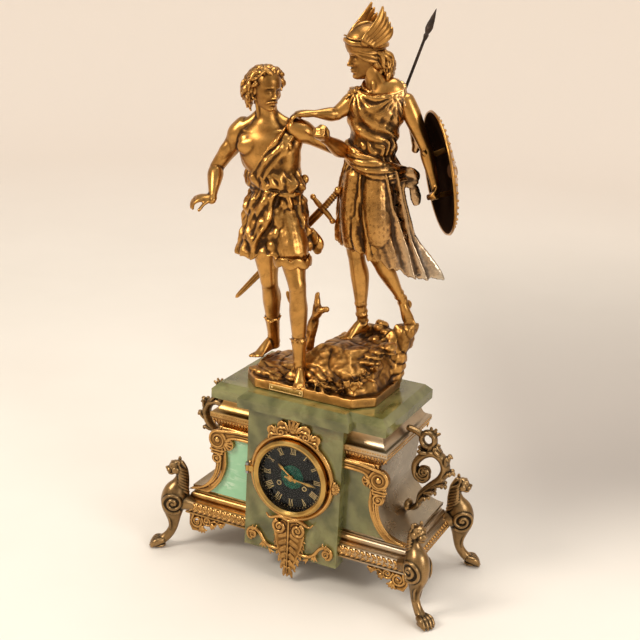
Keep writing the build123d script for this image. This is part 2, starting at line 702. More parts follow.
def make_pendulum():
    """A thin rod with a lens-shaped bob and a rating nut."""
    bob_z = PIVOT_Z - PENDULUM_LENGTH
    with BuildPart() as pendulum:
        with BuildSketch(Plane.XY.offset(bob_z - BOB_RADIUS - NUT_HEIGHT)):
            with Locations((0, PENDULUM_Y)):
                Circle(ROD_RADIUS)
        extrude(amount=PENDULUM_LENGTH + BOB_RADIUS + NUT_HEIGHT - AIR_GAP)
        with BuildSketch(Plane.YZ):
            with BuildLine():
                Line((PENDULUM_Y - BOB_THICK / 2, bob_z), (PENDULUM_Y + BOB_THICK / 2, bob_z))
                Line((PENDULUM_Y + BOB_THICK / 2, bob_z), (PENDULUM_Y + BOB_EDGE / 2, bob_z + BOB_RADIUS))
                Line((PENDULUM_Y + BOB_EDGE / 2, bob_z + BOB_RADIUS),
                     (PENDULUM_Y - BOB_EDGE / 2, bob_z + BOB_RADIUS))
                Line((PENDULUM_Y - BOB_EDGE / 2, bob_z + BOB_RADIUS), (PENDULUM_Y - BOB_THICK / 2, bob_z))
            make_face()
        revolve(axis=Axis((0, PENDULUM_Y, bob_z), (0, 1, 0)))
        with BuildSketch(Plane.XY.offset(bob_z - BOB_RADIUS - NUT_HEIGHT)):
            with Locations((0, PENDULUM_Y)):
                RegularPolygon(NUT_RADIUS, 6)
        extrude(amount=NUT_HEIGHT)
    return pendulum.part


def make_suspension():
    """The cock on the back plate and the flat spring that the pendulum hangs from."""
    cock_bottom = PIVOT_Z + SPRING_LENGTH
    depth = PENDULUM_Y - PLATE_REAR + SPRING_WIDTH
    with BuildPart() as cock:
        with Locations((0, PLATE_REAR + depth / 2, cock_bottom + COCK_HEIGHT / 2)):
            Box(COCK_WIDTH, depth, COCK_HEIGHT)
        with Locations((0, PENDULUM_Y, PIVOT_Z + SPRING_LENGTH / 2)):
            Box(SPRING_THICK, SPRING_WIDTH, SPRING_LENGTH)
    return cock.part


def make_bell():
    """A domed striking bell, open towards the movement."""
    rim = BELL_RADIUS
    with BuildPart() as bell:
        with BuildSketch(Plane.XY.offset(DIAL_Z)):
            with BuildLine():
                CenterArc((0, BELL_APEX - rim), rim, 0, 90)
                Line((0, BELL_APEX), (0, BELL_APEX - BELL_WALL))
                CenterArc((0, BELL_APEX - rim), rim - BELL_WALL, 0, 90)
                Line((rim - BELL_WALL, BELL_APEX - rim), (rim, BELL_APEX - rim))
            make_face()
        revolve(axis=Axis((0, 0, DIAL_Z), (0, 1, 0)))
        with BuildSketch(clock_plane(BELL_APEX)):
            Circle(STAND_RADIUS + RUN_FIT)
        extrude(amount=2 * BELL_WALL, mode=Mode.SUBTRACT)
        with Locations((0, BELL_FRONT - rim, DIAL_Z)):
            Box(4 * rim, 2 * rim, 4 * rim, mode=Mode.SUBTRACT)
    return bell.part


def make_bell_stand():
    """A bent rod from the back plate round behind the bell, with the stub that the bell sits on."""
    with BuildPart() as stand:
        with BuildLine(Plane.XY.offset(DIAL_Z)) as path:
            FilletPolyline((STAND_PLACE, PLATE_REAR), (STAND_PLACE, STAND_Y), (-STAND_RADIUS, STAND_Y),
                           radius=STAND_BEND)
        with BuildSketch(clock_plane(PLATE_REAR, x=STAND_PLACE)):
            Circle(STAND_RADIUS)
        sweep(path=path.wires()[0])
        with BuildSketch(clock_plane(STAND_Y)):
            Circle(STAND_RADIUS)
        extrude(amount=STAND_Y - BELL_APEX + 3 * BELL_WALL)
        with BuildSketch(clock_plane(STAND_Y)):
            Circle(2 * STAND_RADIUS)
        extrude(amount=STAND_Y - BELL_APEX)
    return stand.part


def make_hammer():
    """The bell hammer on its stud: hub, arm and a round head beside the bell rim."""
    arm_back = PLATE_REAR + CRUTCH_GAP + HAMMER_ARM_WIDTH
    head_x = -(BELL_RADIUS + HAMMER_REST_GAP)
    arm_x = head_x - HAMMER_HEAD_LENGTH / 2
    head_y = BELL_FRONT + 2 * HAMMER_HEAD_RADIUS
    with BuildPart() as hammer:
        with BuildSketch(clock_plane(arm_back)):
            with BuildLine():
                Polyline((HAMMER_PIVOT_X - HAMMER_ARM_WIDTH / 2, -HAMMER_PIVOT_DROP),
                         (HAMMER_PIVOT_X + HAMMER_ARM_WIDTH / 2, -HAMMER_PIVOT_DROP),
                         (arm_x + HAMMER_ARM_WIDTH / 2, HAMMER_RISE + HAMMER_HEAD_RADIUS),
                         (arm_x - HAMMER_ARM_WIDTH / 2, HAMMER_RISE + HAMMER_HEAD_RADIUS), close=True)
            make_face()
            with Locations((HAMMER_PIVOT_X, -HAMMER_PIVOT_DROP)):
                Circle(HAMMER_HUB_RADIUS)
                Circle(HAMMER_STUD_RADIUS + RUN_FIT, mode=Mode.SUBTRACT)
        extrude(amount=HAMMER_ARM_WIDTH)
        with BuildSketch(clock_plane(head_y, arm_x, HAMMER_RISE)):
            Rectangle(HAMMER_ARM_WIDTH, HAMMER_ARM_WIDTH)
        extrude(amount=head_y - arm_back)
        with BuildSketch(Plane(origin=(head_x, head_y, DIAL_Z + HAMMER_RISE), z_dir=(-1, 0, 0))):
            Circle(HAMMER_HEAD_RADIUS)
        extrude(amount=HAMMER_HEAD_LENGTH)
    return hammer.part


def make_hammer_stud():
    """The fixed stud on the back plate that the hammer turns on."""
    length = CRUTCH_GAP + HAMMER_ARM_WIDTH + CRUTCH_GAP
    return disc(PLATE_REAR, PLATE_REAR + length, HAMMER_STUD_RADIUS, HAMMER_PIVOT_X, -HAMMER_PIVOT_DROP)


STRAP_WIDTH = 8.0
STRAP_THICK = 3.0
STRAP_PLACE = 55.0


def make_movement_straps():
    """Two flat bars that tie the dial block to the back panel."""
    with BuildPart() as straps:
        with BuildSketch(clock_plane(BODY_HALF_DEPTH - PANEL_THICK)):
            with Locations((-STRAP_PLACE, 0), (STRAP_PLACE, 0)):
                Rectangle(STRAP_THICK, STRAP_WIDTH)
        extrude(amount=BODY_HALF_DEPTH - PANEL_THICK - BLOCK_BACK)
    return straps.part


# Bezel, glass and back door, each on a vertical hinge pin

BEZEL_RADIUS = 56.0
BEZEL_INNER = 47.5
BEZEL_DEPTH = 13.0
BEZEL_LIP = 2.5
BEZEL_ROUND = 3.0
GLASS_RADIUS = 50.5
GLASS_THICK = 2.0
GLASS_SETBACK = 3.0
PIN_RADIUS = 1.2
PIN_LENGTH = 16.0
KNUCKLE_RADIUS = 2.6
KNUCKLE_LENGTH = 8.0
SURROUND_INNER = 57.0
SURROUND_OUTER = 64.0
SURROUND_THICK = 5.0
DOOR_RADIUS = 42.5
DOOR_THICK = 2.5
DOOR_RIM = 3.0

BEZEL_BACK = DIAL_FACE - AIR_GAP
BEZEL_FRONT = BEZEL_BACK - BEZEL_DEPTH
GLASS_FRONT = BEZEL_FRONT + GLASS_SETBACK
BEZEL_PIN_X = -(SURROUND_OUTER + KNUCKLE_RADIUS + AIR_GAP)
BEZEL_PIN_Y = BLOCK_FRONT - SURROUND_THICK - KNUCKLE_RADIUS - AIR_GAP
DOOR_BACK = BODY_HALF_DEPTH + DOOR_THICK
DOOR_PIN_X = DOOR_RADIUS + KNUCKLE_RADIUS + AIR_GAP
DOOR_PIN_Y = BODY_HALF_DEPTH + KNUCKLE_RADIUS + AIR_GAP


def knuckle(x, y, z, length, bore):
    """A hinge barrel about a vertical pin."""
    with BuildPart() as barrel:
        with BuildSketch(Plane.XY.offset(z - length / 2)):
            with Locations((x, y)):
                Circle(KNUCKLE_RADIUS)
                Circle(bore, mode=Mode.SUBTRACT)
        extrude(amount=length)
    return barrel.part


def make_bezel():
    """The polished ring that holds the glass, with one hinge knuckle and its arm."""
    section = [(BEZEL_INNER, BEZEL_FRONT + BEZEL_ROUND), (BEZEL_INNER + BEZEL_ROUND, BEZEL_FRONT),
               (BEZEL_RADIUS - BEZEL_ROUND, BEZEL_FRONT), (BEZEL_RADIUS, BEZEL_FRONT + BEZEL_ROUND),
               (BEZEL_RADIUS, BEZEL_BACK), (GLASS_RADIUS + AIR_GAP, BEZEL_BACK),
               (GLASS_RADIUS + AIR_GAP, GLASS_FRONT), (BEZEL_INNER, GLASS_FRONT)]
    arm = BEZEL_RADIUS + BEZEL_PIN_X
    with BuildPart() as bezel:
        with BuildSketch(Plane.XY.offset(DIAL_Z)):
            Polygon(*section, align=None)
        revolve(axis=Axis((0, 0, DIAL_Z), (0, 1, 0)))
        with Locations(((BEZEL_PIN_X - BEZEL_RADIUS + BEZEL_LIP) / 2, BEZEL_PIN_Y, DIAL_Z)):
            Box(-arm + BEZEL_LIP, KNUCKLE_RADIUS, KNUCKLE_LENGTH)
        add(knuckle(BEZEL_PIN_X, BEZEL_PIN_Y, DIAL_Z, KNUCKLE_LENGTH, PIN_RADIUS + RUN_FIT))
        with BuildSketch(Plane.XY.offset(DIAL_Z - KNUCKLE_LENGTH / 2)):
            with Locations((BEZEL_PIN_X, BEZEL_PIN_Y)):
                Circle(PIN_RADIUS + RUN_FIT)
        extrude(amount=KNUCKLE_LENGTH, mode=Mode.SUBTRACT)
    return bezel.part


def make_back_door():
    """The round brass back door with a shallow rim and its hinge knuckle."""
    with BuildPart() as door:
        add(disc(BODY_HALF_DEPTH, DOOR_BACK, DOOR_RADIUS))
        add(disc(BODY_HALF_DEPTH - DOOR_RIM, BODY_HALF_DEPTH, BACK_HOLE_RADIUS - 2 * DOOR_RIM,
                 bore=BACK_HOLE_RADIUS - 3 * DOOR_RIM))
        with Locations(((DOOR_PIN_X + DOOR_RADIUS - DOOR_RIM) / 2, BODY_HALF_DEPTH + DOOR_THICK / 2,
                        DIAL_Z)):
            Box(DOOR_PIN_X - DOOR_RADIUS + DOOR_RIM, DOOR_THICK, KNUCKLE_LENGTH)
        add(knuckle(DOOR_PIN_X, DOOR_PIN_Y, DIAL_Z, KNUCKLE_LENGTH, PIN_RADIUS + RUN_FIT))
        with BuildSketch(Plane.XY.offset(DIAL_Z - KNUCKLE_LENGTH / 2)):
            with Locations((DOOR_PIN_X, DOOR_PIN_Y)):
                Circle(PIN_RADIUS + RUN_FIT)
        extrude(amount=KNUCKLE_LENGTH, mode=Mode.SUBTRACT)
    return door.part


def make_hinge_pin(x, y, floor):
    """A hinge pin with a fixed knuckle above and below that stands on its mounting face."""
    with BuildPart() as pin:
        with BuildSketch(Plane.XY.offset(DIAL_Z - PIN_LENGTH / 2)):
            with Locations((x, y)):
                Circle(PIN_RADIUS)
        extrude(amount=PIN_LENGTH)
        rest = (PIN_LENGTH - KNUCKLE_LENGTH) / 2 - AIR_GAP
        for side in (-1, 1):
            with Locations((x, (y + floor) / 2, DIAL_Z + side * (PIN_LENGTH - rest) / 2)):
                Box(2 * KNUCKLE_RADIUS, abs(y - floor), rest)
            with BuildSketch(Plane.XY.offset(DIAL_Z + side * (PIN_LENGTH - rest) / 2 - rest / 2)):
                with Locations((x, y)):
                    Circle(KNUCKLE_RADIUS)
            extrude(amount=rest)
    return pin.part

# Gilt mounts on the plinth

PETAL_RADIUS = 7.0
CREST_PLACE = 67.0
CREST_RISE = 12.0
CREST_ANGLES = (62, 76, 90, 104, 118)
FLORET_RADIUS = 9.0
FLORET_PLACE = 63.0
LEAF_THICK = 5.0
LEAF_LENGTH = 90.0
LEAF_HALF = 24.0
TENDRIL_RADIUS = 2.6
LEAF_SHARES = [(0.0, 0.35), (0.12, 0.75), (0.24, 1.0), (0.42, 0.85), (0.6, 0.62), (0.8, 0.36), (1.0, 0.0)]
TENDRIL_SHARES = [(0.3, 0.36), (1.0, 0.56), (1.6, 0.5), (2.1, 0.34), (2.6, 0.34), (2.7, 0.46), (2.4, 0.5)]
MOUNT_THICK = 8.0
MOUNT_BAND = 7.0
LINTEL_HEIGHT = 16.0
VOLUTE_RADIUS = 14.0
CURL_RADIUS = 8.0
COLLAR_WIDTH = 17.0
COLLAR_HEIGHT = 8.0
VOLUTE_DROP = 21.0
COLLAR_DROP = 38.0
CURL_DROP = 50.0
SPRIG_RADIUS = 9.0
SPRIG_DROP = 26.0
STRIP_SHARE = 0.75
TOE_SHARE = 7 / 12
VOLUTE_SHARE = 1.15
CURL_SHARE = 0.95
SPRIG_SHARE = 0.9
COLLAR_SHARE = 1.05


def make_dial_surround():
    """The ornamental ring round the bezel with a leaf crest above and a floret at each side."""
    with BuildPart() as surround:
        with BuildSketch(clock_plane(BLOCK_FRONT)):
            Circle(SURROUND_OUTER)
            for angle in CREST_ANGLES:
                lift = CREST_PLACE + CREST_RISE * (1 - abs(angle - 90) / 45)
                for far in (CREST_PLACE, lift):
                    with Locations((far * cos(radians(angle)), far * sin(radians(angle)))):
                        Circle(PETAL_RADIUS)
            with Locations((-FLORET_PLACE, 0), (FLORET_PLACE, 0)):
                Circle(FLORET_RADIUS)
            Circle(SURROUND_INNER, mode=Mode.SUBTRACT)
        extrude(amount=SURROUND_THICK)
    return surround.part


def make_leaf_pendant():
    """The long acanthus leaf under the dial with a curled tendril to each side."""
    top = DIAL_Z - SURROUND_OUTER - AIR_GAP
    right = [(LEAF_HALF * wide, top - LEAF_LENGTH * down) for down, wide in LEAF_SHARES]
    left = [(-across, height) for across, height in reversed(right[:-1])]
    with BuildPart() as leaf:
        with BuildSketch(Plane.XZ.offset(-BLOCK_FRONT)):
            Polygon(*right, *left, align=None)
        extrude(amount=LEAF_THICK)
        for side in (-1, 1):
            points = [(side * LEAF_HALF * out, top - LEAF_LENGTH * down) for out, down in TENDRIL_SHARES]
            with BuildLine(Plane.XZ.offset(-BLOCK_FRONT + TENDRIL_RADIUS)) as path:
                Spline(*points)
            with BuildSketch(Plane(origin=path.edges()[0] @ 0, z_dir=path.edges()[0] % 0)):
                Circle(TENDRIL_RADIUS)
            sweep(path=path.edges()[0])
    return leaf.part


def make_scroll_mount(sign):
    """The front edge mount of one panel: lintel, volute, collar, curl and the sweeping lower band."""
    foot, middle, waist, top = side_line(sign, SIDE_PLATE / 2)
    foot_in, middle_in, waist_in, top_in = side_line(sign, SIDE_PLATE / 2 + MOUNT_BAND)
    edge = BODY_TOP_HALF - VOLUTE_RADIUS / 2
    middle_x = edge + VOLUTE_RADIUS / 2
    with BuildPart() as mount:
        with BuildSketch(Plane.XZ.offset(BODY_HALF_DEPTH)):
            with BuildLine():
                ThreePointArc(foot, middle, waist)
                Polyline(waist, top, top_in, waist_in)
                ThreePointArc(waist_in, middle_in, (foot_in[0] - sign * SIDE_ARC * TOE_SHARE, BODY_BOTTOM))
                Polyline((foot_in[0] - sign * SIDE_ARC * TOE_SHARE, BODY_BOTTOM), (foot[0], BODY_BOTTOM), foot)
            make_face()
        extrude(amount=MOUNT_THICK * STRIP_SHARE)
        with BuildSketch(Plane.XZ.offset(BODY_HALF_DEPTH)):
            with Locations((sign * (BLOCK_HALF + edge) / 2, BODY_TOP - LINTEL_HEIGHT / 2)):
                Rectangle(edge - BLOCK_HALF, LINTEL_HEIGHT)
        extrude(amount=MOUNT_THICK)
        for across, drop, radius, share in ((middle_x, VOLUTE_DROP, VOLUTE_RADIUS, VOLUTE_SHARE),
                                            (edge + CURL_RADIUS, CURL_DROP, CURL_RADIUS, CURL_SHARE),
                                            (edge - SPRIG_RADIUS, SPRIG_DROP, SPRIG_RADIUS, SPRIG_SHARE)):
            with BuildSketch(Plane.XZ.offset(BODY_HALF_DEPTH)):
                with Locations((sign * across, BODY_TOP - drop)):
                    Circle(radius)
            extrude(amount=MOUNT_THICK * share)
        with BuildSketch(Plane.XZ.offset(BODY_HALF_DEPTH)):
            with Locations((sign * middle_x, BODY_TOP - COLLAR_DROP)):
                Rectangle(COLLAR_WIDTH, COLLAR_HEIGHT)
        extrude(amount=MOUNT_THICK * COLLAR_SHARE)
    return mount.part


HANDLE_RADIUS = 5.0
HANDLE_OUT = 72.0
HANDLE_TALL = 132.0
HANDLE_BOTTOM = 108.0
HANDLE_SHARES = [(0.12, 0.33), (0.36, 0.14), (0.6, 0.1), (0.74, 0.23), (0.89, 0.39), (1.0, 0.58),
                 (0.93, 0.74),
                 (0.68, 0.8), (0.46, 0.73), (0.39, 0.6), (0.52, 0.5), (0.69, 0.54), (0.7, 0.63)]
HANDLE_TOP_SHARES = [(0.8, 0.79), (0.66, 0.96), (0.42, 1.0), (0.14, 0.9)]


def make_handle(sign):
    """A C-scroll on one flank, in the plane across the middle of the case."""
    with BuildPart() as handle:
        for shares in (HANDLE_SHARES, HANDLE_TOP_SHARES):
            points = [(sign * (BODY_WAIST_HALF + HANDLE_OUT * out), HANDLE_BOTTOM + HANDLE_TALL * up)
                      for out, up in shares]
            with BuildLine(Plane.XZ) as path:
                Spline(*points)
            with BuildSketch(Plane(origin=path.edges()[0] @ 0, z_dir=path.edges()[0] % 0)):
                Circle(HANDLE_RADIUS)
            sweep(path=path.edges()[0])
    return largest(cut_by(handle.part, side_plates, cornice))


# Feline-headed legs at the four corners

LEG_SPLAY = 27.0
PAW_REACH = 37.0
LEG_TALL = 140.0
LEG_WIDTH = 13.0
PAW_LENGTH = 34.0
PAW_WIDTH = 15.0
PAW_HEIGHT = 15.0
HAUNCH_REACH = 26.0
HAUNCH_HEIGHT = 17.0
SKULL_RADIUS = 12.0
MUZZLE_RADIUS = 7.0
EAR_RADIUS = 4.0
LEG_SHARES = [(0.60, 0.05, 0.75, 0.75), (0.58, 0.16, 0.7, 0.7), (0.62, 0.3, 0.85, 0.95),
              (0.72, 0.46, 1.0, 1.2), (0.74, 0.62, 1.05, 1.3), (0.58, 0.78, 0.9, 1.1),
              (0.42, 0.92, 0.8, 0.9)]
PAW_SHARES = [(-0.5, 0.5, 0.6), (-0.2, 0.9, 1.0), (0.15, 1.0, 0.9), (0.42, 0.85, 0.6), (0.5, 0.4, 0.3)]


def make_leg():
    """The front right leg: paw, S-shaped body, haunch against the moulding and a feline head."""
    ahead = Vector(cos(radians(LEG_SPLAY)), -sin(radians(LEG_SPLAY)), 0)
    across = (ahead.Y, -ahead.X, 0)
    corner = Vector(BODY_FOOT_HALF + TORUS_PROUD, -(BODY_HALF_DEPTH + TORUS_PROUD), 0)

    def spot(out, up):
        """A point in the upright plane of the leg."""
        return corner + ahead * out + Vector(0, 0, up)

    trunk = [(*spot(PAW_REACH * out, LEG_TALL * up), LEG_WIDTH * wide, LEG_WIDTH * deep)
             for out, up, wide, deep in LEG_SHARES]
    paw = [(*spot(PAW_REACH + PAW_LENGTH * along, PAW_HEIGHT / 3), PAW_WIDTH * wide, PAW_HEIGHT * high)
           for along, wide, high in PAW_SHARES]
    haunch_z = (MOULDING_BOTTOM + BODY_BOTTOM) / 2
    haunch = [(*spot(-HAUNCH_REACH / 2, haunch_z), LEG_WIDTH, HAUNCH_HEIGHT),
              (*spot(HAUNCH_REACH, haunch_z), LEG_WIDTH * 0.8, HAUNCH_HEIGHT * 0.9)]
    skull = spot(PAW_REACH * 0.45, LEG_TALL)
    muzzle = spot(PAW_REACH * 0.45 + SKULL_RADIUS, LEG_TALL - MUZZLE_RADIUS / 2)
    side = Vector(*across)
    with BuildPart() as leg:
        add(chain(trunk, across))
        add(chain(paw, across))
        add(chain(haunch, across))
        add(egg(tuple(skull), (SKULL_RADIUS, SKULL_RADIUS * 0.9, SKULL_RADIUS), (0, 0, -LEG_SPLAY)))
        add(egg(tuple(muzzle), (MUZZLE_RADIUS, MUZZLE_RADIUS, MUZZLE_RADIUS * 0.85), (0, 0, -LEG_SPLAY)))
        for sign in (-1, 1):
            ear = skull + side * (sign * SKULL_RADIUS * 0.6) + Vector(0, 0, SKULL_RADIUS)
            add(egg(tuple(ear), (EAR_RADIUS * 0.6, EAR_RADIUS, EAR_RADIUS * 1.3), (0, 0, -LEG_SPLAY)))
        with Locations((corner.X, corner.Y, -LEG_TALL / 2)):
            Box(4 * LEG_TALL, 4 * LEG_TALL, LEG_TALL, mode=Mode.SUBTRACT)
    return largest(cut_by(leg.part, base_moulding, side_plates, right_panel, back_panel))


APRON_THICK = 5.0
APRON_LENGTH = 62.0
APRON_DROP = 30.0
APRON_SETBACK = 6.0
APRON_SHARES = [(0.0, 0.0), (1.0, 0.0), (0.96, 0.22), (0.78, 0.3), (0.62, 0.62), (0.42, 0.5), (0.3, 0.95),
                (0.08, 1.0), (0.0, 0.7)]
APRON_EYE_SHARES = [(0.2, 0.42, 0.1), (0.48, 0.26, 0.06), (0.74, 0.14, 0.04)]


def make_front_aprons():
    """Two pierced scroll brackets under the front of the moulding, one beside each front leg."""
    outer = BODY_FOOT_HALF + TORUS_PROUD
    front = BODY_HALF_DEPTH + TORUS_PROUD - APRON_SETBACK
    with BuildPart() as aprons:
        with BuildSketch(Plane.XZ.offset(front - APRON_THICK)):
            for sign in (-1, 1):
                Polygon(*[(sign * (outer - APRON_LENGTH * along), MOULDING_BOTTOM - APRON_DROP * down)
                          for along, down in APRON_SHARES], align=None)
                for along, down, wide in APRON_EYE_SHARES:
                    with Locations((sign * (outer - APRON_LENGTH * along),
                                    MOULDING_BOTTOM - APRON_DROP * down)):
                        Circle(APRON_LENGTH * wide, mode=Mode.SUBTRACT)
        extrude(amount=APRON_THICK)
    return cut_by(aprons.part, legs["front_right_leg"], legs["front_left_leg"])

# Sculpture. Places are in head heights from the middle of the slab top: right, back, up.


def heads(x, y, z, *radii):
    """A station or place of the sculpture in millimetres from its value in head heights."""
    return (HEAD * x, HEAD * y, SLAB_TOP + HEAD * z, *[HEAD * radius for radius in radii])


def limb(shares, side):
    """A smooth limb through (x, y, z, half width, half depth) shares of the head height."""
    return chain([heads(*station) for station in shares], side)


def ball(shares, turn=(0, 0, 0)):
    """A rounded mass at (x, y, z) with three radii, all shares of the head height."""
    place = heads(*shares)
    return egg(place[:3], place[3:], turn)


FOLD_POINTS = 4


def skirt(shares, folds, depth_shares, turn):
    """A pleated skirt through (x, y, z, half width, half depth, tilt) stations."""
    with BuildPart() as cloth:
        for (x, y, z, wide, deep, tilt), wave in zip(shares, depth_shares):
            place = heads(x, y, z)
            points = []
            for index in range(folds * FOLD_POINTS):
                angle = 2 * pi * index / (folds * FOLD_POINTS)
                swell = 1 + wave * cos(folds * angle)
                points.append((HEAD * wide * swell * cos(angle), HEAD * deep * swell * sin(angle)))
            with BuildSketch(Plane(Location(place, (0, tilt, turn)))):
                with BuildLine():
                    Spline(*points, periodic=True)
                make_face()
        loft()
    return cloth.part


# Rock

ROCK_HALF_WIDTH = 1.96 * HEAD
ROCK_HALF_DEPTH = 1.36 * HEAD
ROCK_CORNER = 0.5 * HEAD
ROCK_INSET = 0.08 * HEAD
RIM = ROCK_RIM_HEIGHT
MOUNDS = [
    [(0.14, [(-1.85, -0.6), (-1.1, -1.25), (0.4, -1.28), (0.5, 0.9), (-1.1, 1.25), (-1.85, 0.5)]),
     (0.52, [(-1.8, -0.5), (-1.2, -0.7), (-0.9, -0.4), (-0.7, 0.5), (-1.1, 0.9), (-1.75, 0.45)])],
    [(0.14, [(-0.9, -1.0), (1.5, -1.2), (1.86, -0.6), (1.86, 1.0), (1.4, 1.26), (-0.6, 1.26)]),
     (0.8, [(-0.45, -0.75), (1.2, -0.9), (1.66, -0.4), (1.82, 1.0), (1.3, 1.2), (-0.3, 1.15)]),
     (1.26, [(-0.05, -0.2), (0.9, -0.35), (1.3, 0.0), (1.75, 0.9), (1.2, 1.1), (0.1, 1.05)])],
    [(1.1, [(1.2, 0.5), (1.7, 0.5), (2.0, 0.7), (2.12, 1.2), (1.7, 1.24), (1.3, 1.2)]),
     (1.84, [(1.7, 0.85), (2.0, 0.85), (2.2, 0.98), (2.24, 1.2), (2.0, 1.24), (1.8, 1.2)])],
]
BRANCH = [(-0.95, 0.55, 0.2, 0.2, 0.2), (-0.72, 0.5, 1.0, 0.17, 0.17), (-0.58, 0.46, 1.6, 0.14, 0.14),
          (-0.42, 0.42, 2.1, 0.06, 0.06)]


def make_rock():
    """The octagonal rim with stepped boulders and a broken branch fused on it."""
    wide, deep, nip = ROCK_HALF_WIDTH, ROCK_HALF_DEPTH, ROCK_CORNER
    corners = [(wide, deep - nip), (wide - nip, deep), (nip - wide, deep), (-wide, deep - nip),
               (-wide, nip - deep), (nip - wide, -deep), (wide - nip, -deep), (wide, nip - deep)]
    with BuildPart() as rock:
        with BuildSketch(Plane.XY.offset(SLAB_TOP)):
            Polygon(*corners, align=None)
        extrude(amount=RIM)
        for mound in MOUNDS:
            with BuildPart() as boulder:
                for level, outline in mound:
                    with BuildSketch(Plane.XY.offset(SLAB_TOP + HEAD * level)):
                        Polygon(*[(HEAD * x, HEAD * y) for x, y in outline], align=None)
                loft(ruled=True)
            add(boulder.part)
        add(limb(BRANCH, (1, 0, 0)))
        with Locations(Plane.XY.offset(SLAB_TOP)):
            with Locations(*STUD_PLACES):
                Hole(STUD_RADIUS + RUN_FIT, depth=2 * RIM, mode=Mode.SUBTRACT)
    return rock.part


# The youth

YOUTH_TORSO = [(-1.46, -0.48, 5.3, 0.54, 0.38), (-1.60, -0.56, 5.96, 0.66, 0.44),
               (-1.72, -0.62, 6.5, 0.78, 0.48),
               (-1.76, -0.60, 6.92, 0.76, 0.38), (-1.74, -0.60, 7.2, 0.3, 0.26)]
YOUTH_SKIRT = [(-1.46, -0.48, 5.5, 0.58, 0.42, 0), (-1.52, -0.44, 4.66, 0.82, 0.6, -4),
               (-1.50, -0.48, 3.72, 1.02, 0.72, -9)]
YOUTH_PLEATS = 9
YOUTH_TURN = 8.0
YOUTH_FOLDS = (0.02, 0.05, 0.09)
YOUTH_HEAD = [(-1.74, -0.60, 7.1, 0.26, 0.26), (-1.73, -0.62, 7.42, 0.24, 0.24),
              (-1.75, -0.66, 7.66, 0.31, 0.37),
              (-1.78, -0.66, 7.96, 0.4, 0.46), (-1.8, -0.65, 8.26, 0.43, 0.48),
              (-1.81, -0.64, 8.5, 0.33, 0.37),
              (-1.81, -0.64, 8.62, 0.08, 0.08)]
YOUTH_RIGHT_ARM = [
    [(-2.5, -0.68, 6.86, 0.3, 0.3), (-2.92, -0.72, 6.32, 0.27, 0.27), (-3.2, -0.74, 5.8, 0.21, 0.21)],
    [(-3.2, -0.72, 5.84, 0.2, 0.2), (-3.1, -1.0, 5.46, 0.22, 0.22), (-2.96, -1.32, 5.1, 0.14, 0.14)],
    [(-2.94, -1.34, 5.14, 0.13, 0.15), (-3.2, -1.48, 4.98, 0.12, 0.18), (-3.52, -1.58, 4.96, 0.06, 0.1)],
]
YOUTH_LEFT_ARM = [
    [(-1.0, -0.4, 7.0, 0.3, 0.3), (-0.4, -0.08, 6.76, 0.27, 0.27), (0.08, 0.2, 6.54, 0.21, 0.21)],
    [(0.08, 0.22, 6.52, 0.2, 0.2), (0.04, -0.28, 6.74, 0.22, 0.22), (0.0, -0.76, 6.98, 0.15, 0.15)],
]
YOUTH_FIST = (-0.02, -0.94, 7.08, 0.2, 0.2, 0.2)
YOUTH_ELBOWS = [(-3.2, -0.74, 5.8, 0.21, 0.21, 0.21), (0.08, 0.21, 6.53, 0.22, 0.22, 0.22)]
YOUTH_RIGHT_LEG = [(-1.84, -0.38, 4.1, 0.4, 0.4), (-1.7, -0.36, 3.2, 0.31, 0.31),
                   (-1.64, -0.34, 2.72, 0.25, 0.25),
                   (-1.7, -0.06, 2.0, 0.28, 0.28), (-1.74, 0.26, 1.16, 0.17, 0.17),
                   (-1.74, 0.3, 0.8, 0.17, 0.2)]
YOUTH_RIGHT_FOOT = [(-1.72, 0.42, 0.76, 0.14, 0.18), (-1.8, 0.1, 0.72, 0.18, 0.2),
                    (-1.9, -0.24, 0.6, 0.2, 0.14),
                    (-1.98, -0.48, 0.54, 0.12, 0.08)]
YOUTH_LEFT_LEG = [(-1.04, -0.6, 4.2, 0.4, 0.4), (-0.66, -0.9, 3.4, 0.32, 0.32),
                  (-0.44, -1.0, 2.96, 0.25, 0.25),
                  (-0.4, -0.98, 2.2, 0.28, 0.28), (-0.34, -0.92, 1.1, 0.17, 0.17),
                  (-0.33, -0.9, 0.62, 0.17, 0.2)]
YOUTH_LEFT_FOOT = [(-0.38, -0.74, 0.5, 0.14, 0.18), (-0.28, -0.96, 0.48, 0.18, 0.22),
                   (-0.14, -1.18, 0.38, 0.2, 0.15),
                   (-0.04, -1.34, 0.32, 0.12, 0.08)]
SWORD_BLADE = [(-3.1, 0.34, 1.86, 0.03, 0.02), (-2.86, 0.34, 2.13, 0.09, 0.05),
               (-1.7, 0.33, 3.45, 0.11, 0.05),
               (-0.46, 0.32, 4.86, 0.12, 0.06)]
SWORD_GUARD = [(-0.76, 0.32, 5.14, 0.07, 0.07), (-0.16, 0.32, 4.6, 0.07, 0.07)]
SWORD_GRIP = [(-0.5, 0.32, 4.82, 0.07, 0.07), (-0.02, 0.24, 5.4, 0.06, 0.06)]
SWORD_POMMEL = (0.02, 0.22, 5.46, 0.1, 0.1, 0.1)

# The maiden

